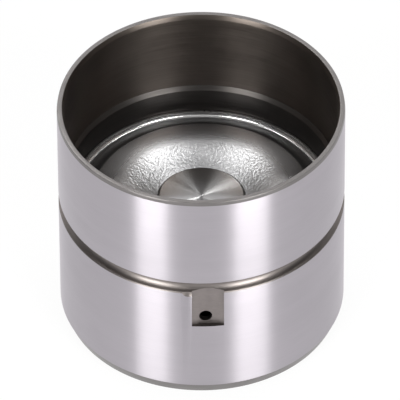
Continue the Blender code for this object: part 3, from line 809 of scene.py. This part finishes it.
class LIFTER_OT_guide_sleeve(LifterOperator, bpy.types.Operator):
    """Turn the guide sleeve with its flange, web, crest and mouth"""
    bl_idname = "lifter.guide_sleeve"
    bl_label = "Guide sleeve"

    # Noise factors of the drawn grain: per millimetre outwards, per radian, per millimetre
    strokes_outwards = 2.6
    strokes_round = 42.0
    grit_scale = 4.4
    stroke_share = 0.6

    def execute(self, context):
        s = sizes()
        flange_z = s.crown + s.flange_height
        flange_radius = BUCKET_HIGH.x - s.lower_wall - s.gap
        flange_bore = flange_radius - s.flange_thickness
        valley_radius = flange_bore - s.flange_fillet
        valley_z = flange_z - s.flange_wall - s.flange_fillet
        crest_z = valley_z + s.crest_rise
        sleeve_radius = s.sleeve_bore + s.sleeve_wall
        under_valley, under_crest = valley_z - s.web_thickness, crest_z - s.web_thickness
        counterbore = s.sleeve_bore + (RING_HIGH.z - RING_LOW.z) - s.ring_groove_depth + 2 * s.gap
        shoulder_z = RING_HIGH.z + s.gap
        foot_z = SLEEVE_LOW.z
        outline = [(flange_radius, flange_z, "flange")]
        outline += alike("web", (
            (flange_radius, under_valley + s.flange_foot_bevel),
            (flange_radius - s.flange_foot_bevel, under_valley),
            (valley_radius, under_valley),
        ))
        outline += eased((valley_radius, under_valley), (s.crest_radius, under_crest),
                         steps=16, kind="web")
        slope = math.degrees(s.cone_angle)
        dome_centre = (s.crest_radius, crest_z - s.dome_round)
        under_dome = s.dome_round - s.web_thickness
        outline += arc(dome_centre, (under_dome, under_dome), 90, 90 + slope, steps=16, kind="web")
        outline.append((sleeve_radius, self.cone_z(crest_z, sleeve_radius, s.web_thickness), "web"))
        outline += alike("lapped", (
            (sleeve_radius, foot_z),
            (counterbore, foot_z),
            (counterbore, shoulder_z),
            (s.sleeve_bore, shoulder_z),
        ))
        edge_radius = s.sleeve_bore + s.mouth_round
        edge_centre = (edge_radius, self.cone_z(crest_z, edge_radius, s.mouth_round))
        outline += arc(edge_centre, (s.mouth_round, s.mouth_round), 180, 90 + slope,
                       steps=10, kind="web")
        outline += arc(dome_centre, (s.dome_round, s.dome_round), 90 + slope, 90,
                       steps=72, kind="web")
        # The valley between crest and fillet takes the darkened steel, a painted shade.
        outline += eased((s.crest_radius, crest_z), (valley_radius, valley_z),
                         steps=24, kind="valley")
        # The fillet takes the brightened steel, a painted highlight.
        outline += arc((valley_radius, valley_z + s.flange_fillet),
                       (s.flange_fillet, s.flange_fillet), -90, 0, steps=12, kind="fillet")[:-1]
        outline += alike("flange", (
            (flange_bore, valley_z + s.flange_fillet),
            (flange_bore, flange_z),
        ))
        sides = context.scene.lifter_view.web_sides
        sleeve = turned("drawn_guide_sleeve", softened(outline, s.edge_round, True), sides, True)
        self.roughen(sleeve, crest_z - s.web_thickness)
        dressed(sleeve, "bucket", "guide_sleeve")
        return {"FINISHED"}

    def roughen(self, sleeve, above):
        """Raise the drawn grain on the web's upper side, strongest at the mouth.

        It is radial strokes, narrow round the axis, mixed with grit of one scale all ways.
        The strokes start and end on the -X side, where their own steps hide the seam.
        """
        s = sizes()
        for vertex in sleeve.data.vertices:
            x, y, z = vertex.co / MM
            radius = math.hypot(x, y)
            share = (s.grain_reach / MM - radius) / (s.grain_fade / MM)
            if radius * MM < s.sleeve_bore + s.edge_round or share <= 0 or vertex.co.z < above:
                continue
            around = math.atan2(y, x)
            strokes = Vector((radius * self.strokes_outwards, around * self.strokes_round, 0.0))
            grit = Vector((x, y, z)) * self.grit_scale
            height = (self.stroke_share * noise_at(strokes)
                      + (1 - self.stroke_share) * noise_at(grit))
            vertex.co.z += s.grain_depth * min(share, 1.0) * height

    def cone_z(self, crest_z, radius, inset):
        """Height of the cone's face at a radius, or of a face inset below it."""
        s = sizes()
        return (crest_z - s.dome_round + (s.dome_round - inset) / math.cos(s.cone_angle)
                - (s.crest_radius - radius) * math.tan(s.cone_angle))


class LIFTER_OT_inner_housing(LifterOperator, bpy.types.Operator):
    """Turn the element cup with its valve end and the retaining ring's groove"""
    bl_idname = "lifter.inner_housing"
    bl_label = "Inner housing"

    def execute(self, context):
        s = sizes()
        radius, face_z, open_z = HOUSING_HIGH.x, HOUSING_HIGH.z, HOUSING_LOW.z
        groove_floor = radius - s.ring_groove_depth
        bore = PISTON_HIGH.x + s.gap
        outline = [
            (0.0, face_z, "face"),
            (radius - s.face_bevel, face_z, "rim"),
        ]
        outline += alike("lapped", (
            (radius, face_z - s.face_bevel),
            (radius, RING_HIGH.z + s.gap),
            (groove_floor, RING_HIGH.z + s.gap),
            (groove_floor, RING_LOW.z - s.gap),
            (radius, RING_LOW.z - s.gap),
            (radius, open_z + s.end_bevel),
            (radius - s.end_bevel, open_z),
            (bore + s.end_bevel, open_z),
            (bore, open_z + s.end_bevel),
            (bore, face_z - s.housing_end),
            (0.0, face_z - s.housing_end),
        ))
        sides = context.scene.lifter_view.turned_sides
        housing = turned("turned_inner_housing", softened(outline, s.edge_round), sides)
        dressed(housing, "element", "inner_housing")
        return {"FINISHED"}


class LIFTER_OT_piston(LifterOperator, bpy.types.Operator):
    """Turn the piston with its reservoir, oil bore and ball seat, and slot its foot"""
    bl_idname = "lifter.piston"
    bl_label = "Piston"

    def execute(self, context):
        s = sizes()
        radius, top, foot = PISTON_HIGH.x, PISTON_HIGH.z, PISTON_LOW.z
        reservoir, oil_bore, seat = s.reservoir / 2, s.oil_bore / 2, s.seat / 2
        reservoir_top = top - s.piston_head
        outline = alike("lapped", (
            (seat, top),
            (radius - s.piston_bevel, top),
            (radius, top - s.piston_bevel),
            (radius, foot + s.piston_bevel),
            (radius - s.piston_bevel, foot),
        ))
        outline += alike("bore", (
            (reservoir, foot),
            (reservoir, reservoir_top - s.piston_bevel),
            (reservoir - s.piston_bevel, reservoir_top),
            (oil_bore, reservoir_top),
        ))
        outline.append((oil_bore, top - (seat - oil_bore), "lapped"))
        sides = context.scene.lifter_view.small_sides
        piston = turned("lapped_piston", softened(outline, s.edge_round, True), sides, True)
        slot_size = (s.foot_slot_width, THROUGH * radius, 2 * s.foot_slot_depth)
        slot = box_cutter("slot_cutter", slot_size, s.foot_slot_corner, "lapped")
        slot.location.z = foot
        cut_by(piston, [slot])
        dressed(piston, "bucket", "piston")
        return {"FINISHED"}


class LIFTER_OT_check_valve(LifterOperator, bpy.types.Operator):
    """Make the check ball, its spring and the windowed valve cap over them"""
    bl_idname = "lifter.check_valve"
    bl_label = "Check valve"

    def execute(self, context):
        ball_radius = (BALL_HIGH.z - BALL_LOW.z) / 2
        self.make_ball(ball_radius, context.scene.lifter_view.ball_sides)
        self.make_cap(ball_radius, context.scene.lifter_view.small_sides)
        self.make_ball_spring()
        return {"FINISHED"}

    def make_ball(self, radius, sides):
        middle = (0.0, (BALL_HIGH.z + BALL_LOW.z) / 2)
        half_circle = arc(middle, (radius, radius), 90, -90, steps=sides // 2, kind="ball")
        outline = [(0.0, BALL_HIGH.z, "ball"), *half_circle[1:-1], (0.0, BALL_LOW.z, "ball")]
        ball = turned("polished_check_ball", outline, sides)
        dressed(ball, "check_valve", "check_ball")

    def make_cap(self, ball_radius, sides):
        s = sizes()
        foot, top = CAP_LOW.z, CAP_HIGH.z
        cage_bore = ball_radius + s.cap_side_room
        cage, dimple, flange = cage_bore + s.cap_sheet, s.cap_dimple / 2, CAP_HIGH.x
        ceiling = top - s.cap_sheet
        dimple_z = ceiling - s.cap_spring_room
        outline = alike("sheet", (
            (0.0, dimple_z + s.cap_sheet),
            (dimple - s.cap_sheet / 2, dimple_z + s.cap_sheet),
            (dimple, top),
            (cage - s.cap_bend, top),
            (cage, top - s.cap_bend),
            (cage, foot + s.cap_sheet),
            (flange, foot + s.cap_sheet),
            (flange, foot),
            (cage_bore, foot),
            (cage_bore, ceiling - s.cap_bend),
            (cage_bore - s.cap_bend, ceiling),
            (dimple + s.cap_sheet, ceiling),
            (dimple + s.cap_sheet / 2, dimple_z),
            (0.0, dimple_z),
        ))
        cap = turned("pressed_valve_cap", softened(outline, s.edge_round), sides)
        window_z = (foot + s.cap_sheet + ceiling - s.cap_bend) / 2
        windows = []
        for index in range(s.cap_windows):
            reach = THROUGH * s.cap_sheet
            window = rod_cutter(f"window_cutter_{index}", s.cap_window, reach, "sheet")
            turn = 2 * math.pi * (index + 0.5) / s.cap_windows
            windows.append(on_skirt(window, turn, cage_bore + s.cap_sheet / 2, window_z))
        cut_by(cap, windows)
        dressed(cap, "bucket", "valve_cap")

    def make_ball_spring(self):
        s = sizes()
        wire = s.ball_wire
        low, high = BALL_SPRING_LOW.z + wire / 2, BALL_SPRING_HIGH.z - wire / 2
        coil_radius = (BALL_SPRING_HIGH.x - BALL_SPRING_LOW.x - wire) / 2
        points = helix(coil_radius, low, high, s.ball_spring_turns, per_turn=40)
        spring = wound("fine_ball_spring", points, wire, "fine_wire")
        dressed(spring, "bucket", "check_ball_spring")
        shortened_by(spring)


class LIFTER_OT_return_spring(LifterOperator, bpy.types.Operator):
    """Wind the return spring; in the lifter it shortens as the element goes in, but here it keeps its
    wound length
    """
    bl_idname = "lifter.return_spring"
    bl_label = "Return spring"

    def execute(self, context):
        s = sizes()
        wire = s.return_wire
        low, high = SPRING_LOW.z + wire / 2, SPRING_HIGH.z - wire / 2
        coil_radius = (SPRING_HIGH.x - SPRING_LOW.x - wire) / 2
        points = helix(coil_radius, low, high, s.return_spring_turns, per_turn=72,
                       closed_turns=s.closed_turns, closed_rise=wire + s.closed_gap)
        spring = wound("wound_return_spring", points, wire, "wire")
        dressed(spring, "bucket", "return_spring")
        shortened_by(spring)
        return {"FINISHED"}


class LIFTER_OT_retaining_ring(LifterOperator, bpy.types.Operator):
    """Bend the wire ring that keeps the element in its sleeve"""
    bl_idname = "lifter.retaining_ring"
    bl_label = "Retaining ring"

    def execute(self, context):
        wire = RING_HIGH.z - RING_LOW.z
        radius = RING_HIGH.y - wire / 2
        middle = (RING_HIGH.z + RING_LOW.z) / 2
        opening = math.degrees(sizes().ring_opening)
        start = 90 + opening / 2
        bend = arc((0.0, 0.0), (radius, radius), start, start + 360 - opening,
                   steps=120, kind="ring")
        points = [(x, y, middle) for x, y, _ in bend]
        ring = wound("snap_retaining_ring", points, wire, "ring")
        dressed(ring, "element", "retaining_ring")
        return {"FINISHED"}


# Name, degrees round from the front and above the floor, distance and sides in metres, watts
SOFTBOXES = (
    ("left_front_softbox", -35.2, 22.0, 0.62, (0.24, 0.50), 3.30),
    ("right_front_softbox", 35.2, 22.0, 0.62, (0.27, 0.50), 3.70),
    ("left_side_softbox", -132.0, 66.0, 0.80, (0.30, 0.13), 1.05),
    ("right_side_softbox", 132.0, 66.0, 0.80, (0.32, 0.13), 1.2),
    ("left_back_softbox", -166.0, 49.5, 0.80, (0.10, 0.07), 0.32),
    ("right_back_softbox", 166.0, 49.5, 0.80, (0.08, 0.07), 0.07),
)


def whitened(tree, shaded, share):
    """The shaded surface, shown white by the share to the eye, to gloss and through glass."""
    path = tree.nodes.new("ShaderNodeLightPath").outputs
    seen = arithmetic(tree, "MAXIMUM", path["Is Camera Ray"], path["Is Glossy Ray"])
    seen = arithmetic(tree, "MAXIMUM", seen, path["Is Transmission Ray"])
    white = shader_node(tree, "ShaderNodeEmission", Color=(1.0, 1.0, 1.0, 1.0))
    mix = tree.nodes.new("ShaderNodeMixShader")
    sources = (arithmetic(tree, "MULTIPLY", seen, share), shaded, white.outputs[0])
    for socket, source in zip(mix.inputs, sources):
        tree.links.new(source, socket)
    return mix.outputs[0]


def floor_finish():
    """Plain pale floor, nearly white to the eye, which keeps the lifter's shadow."""
    material = bpy.data.materials.new("pale_floor")
    material.use_nodes = True
    tree = material.node_tree
    shader = tree.nodes["Principled BSDF"]
    shader.inputs["Base Color"].default_value = (*colours().floor, 1.0)
    shader.inputs["Roughness"].default_value = 0.6
    shown = whitened(tree, shader.outputs[0], bpy.context.scene.lifter_view.floor_white)
    tree.links.new(shown, tree.nodes["Material Output"].inputs["Surface"])
    return material


def softbox(name, azimuth, elevation, distance, size, power):
    """A rectangular lamp that faces the lifter, azimuth in degrees round from the front."""
    lamp = bpy.data.lights.new(name, "AREA")
    lamp.shape = "RECTANGLE"
    lamp.size, lamp.size_y = size
    lamp.energy = power
    lamp.color = colours().lamps
    holder = bpy.data.objects.new(name, lamp)
    turn, rise = math.radians(azimuth), math.radians(elevation)
    away = Vector((math.sin(turn) * math.cos(rise), -math.cos(turn) * math.cos(rise), math.sin(rise)))
    holder.location = away * distance
    holder.rotation_euler = away.to_track_quat("Z", "Y").to_euler()
    bpy.context.scene.collection.objects.link(holder)


def side_light(tree, back, up, reach, levels, height):
    """World light from one side: levels over a reach backwards, faded out over a height.

    Reach and height are parts of the unit direction that the light comes from.
    """
    level = ranged(tree, back, reach, levels, smooth=True)
    below = ranged(tree, up, height, (0.0, 1.0), smooth=True)
    return arithmetic(tree, "MULTIPLY", level, below)


def studio_world():
    """White light all round, bright behind, dimmer before, and dark between sides and top."""
    world = bpy.data.worlds.new("studio")
    world.use_nodes = True
    tree = world.node_tree
    towards = tree.nodes.new("ShaderNodeTexCoord").outputs["Generated"]
    _, back, up = shader_node(tree, "ShaderNodeSeparateXYZ", Vector=towards).outputs
    behind = side_light(tree, back, up, reach=(0.2, 0.8), levels=(0.0, 0.90), height=(0.80, 0.68))
    before = side_light(tree, back, up, reach=(-0.1, -0.7), levels=(0.22, 0.58),
                        height=(0.78, 0.64))
    overhead = ranged(tree, up, (0.89, 0.985), (0.03, 0.55), smooth=True)
    level = arithmetic(tree, "ADD", arithmetic(tree, "ADD", behind, before), overhead)
    background = tree.nodes["Background"].inputs
    background["Color"].default_value = (1.0, 1.0, 1.0, 1.0)
    tree.links.new(level, background["Strength"])
    return world


class LIFTER_OT_stage(LifterOperator, bpy.types.Operator):
    """Set the floor, the world, the softboxes and the camera"""
    bl_idname = "lifter.stage"
    bl_label = "Stage"

    def execute(self, context):
        scene = context.scene
        self.lay_floor(scene.lifter_view.floor_reach)
        scene.world = studio_world()
        for softbox_values in SOFTBOXES:
            softbox(*softbox_values)
        self.place_camera(scene)
        scene.view_settings.view_transform = "Standard"
        return {"FINISHED"}

    def lay_floor(self, reach):
        shape = bmesh.new()
        bmesh.ops.create_grid(shape, x_segments=8, y_segments=8, size=reach)
        mesh = bpy.data.meshes.new("floor")
        shape.to_mesh(mesh)
        shape.free()
        mesh.materials.append(floor_finish())
        add_piece("floor", mesh)

    def place_camera(self, scene):
        view = scene.lifter_view
        rise = view.elevation
        back = Vector((0.0, -math.cos(rise), math.sin(rise)))
        right = Vector((1.0, 0.0, 0.0))
        up = Vector((0.0, math.sin(rise), math.cos(rise)))
        middle = (BUCKET_LOW + BUCKET_HIGH) / 2
        aim = middle + right * view.aim_right + up * view.aim_up
        camera = bpy.data.objects.new("camera", bpy.data.cameras.new("camera"))
        camera.data.sensor_width = 36.0
        picture_width = view.picture_side / view.pixels_per_metre
        camera.data.lens = camera.data.sensor_width * view.distance / picture_width
        camera.data.clip_start, camera.data.clip_end = 0.01, 20.0
        axes = Matrix((right, up, back)).transposed().to_4x4()
        camera.matrix_world = (Matrix.Translation(aim + back * view.distance) @ axes
                               @ Matrix.Rotation(-view.roll, 4, "Z"))
        scene.collection.objects.link(camera)
        scene.camera = camera


OPERATORS = (
    LIFTER_OT_bucket,
    LIFTER_OT_guide_sleeve,
    LIFTER_OT_inner_housing,
    LIFTER_OT_piston,
    LIFTER_OT_check_valve,
    LIFTER_OT_return_spring,
    LIFTER_OT_retaining_ring,
    LIFTER_OT_stage,
)


class LIFTER_PT_pieces(bpy.types.Panel):
    """Lists the lifter's pieces"""
    bl_idname = "LIFTER_PT_pieces"
    bl_label = "Hydraulic valve lifter"
    bl_space_type = "VIEW_3D"
    bl_region_type = "UI"
    bl_category = "Lifter"

    def draw(self, context):
        for operator in OPERATORS:
            self.layout.operator(operator.bl_idname)


CLASSES = (LifterSizes, LifterColours, LifterView, *OPERATORS, LIFTER_PT_pieces)


def register():
    for each in CLASSES:
        bpy.utils.register_class(each)
    bpy.types.Scene.lifter_sizes = PointerProperty(type=LifterSizes)
    bpy.types.Scene.lifter_colours = PointerProperty(type=LifterColours)
    bpy.types.Scene.lifter_view = PointerProperty(type=LifterView)


def unregister():
    del bpy.types.Scene.lifter_view
    del bpy.types.Scene.lifter_colours
    del bpy.types.Scene.lifter_sizes
    for each in reversed(CLASSES):
        bpy.utils.unregister_class(each)


def corners(box):
    """A box's two corners as plain numbers in metres."""
    return [[round(number, 6) for number in corner] for corner in box]


def main():
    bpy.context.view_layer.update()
    register()
    bpy.ops.lifter.bucket()
    bpy.ops.lifter.guide_sleeve()
    bpy.ops.lifter.inner_housing()
    bpy.ops.lifter.piston()
    bpy.ops.lifter.check_valve()
    bpy.ops.lifter.return_spring()
    bpy.ops.lifter.retaining_ring()
    bpy.ops.lifter.stage()


if __name__ == "__main__":
    main()
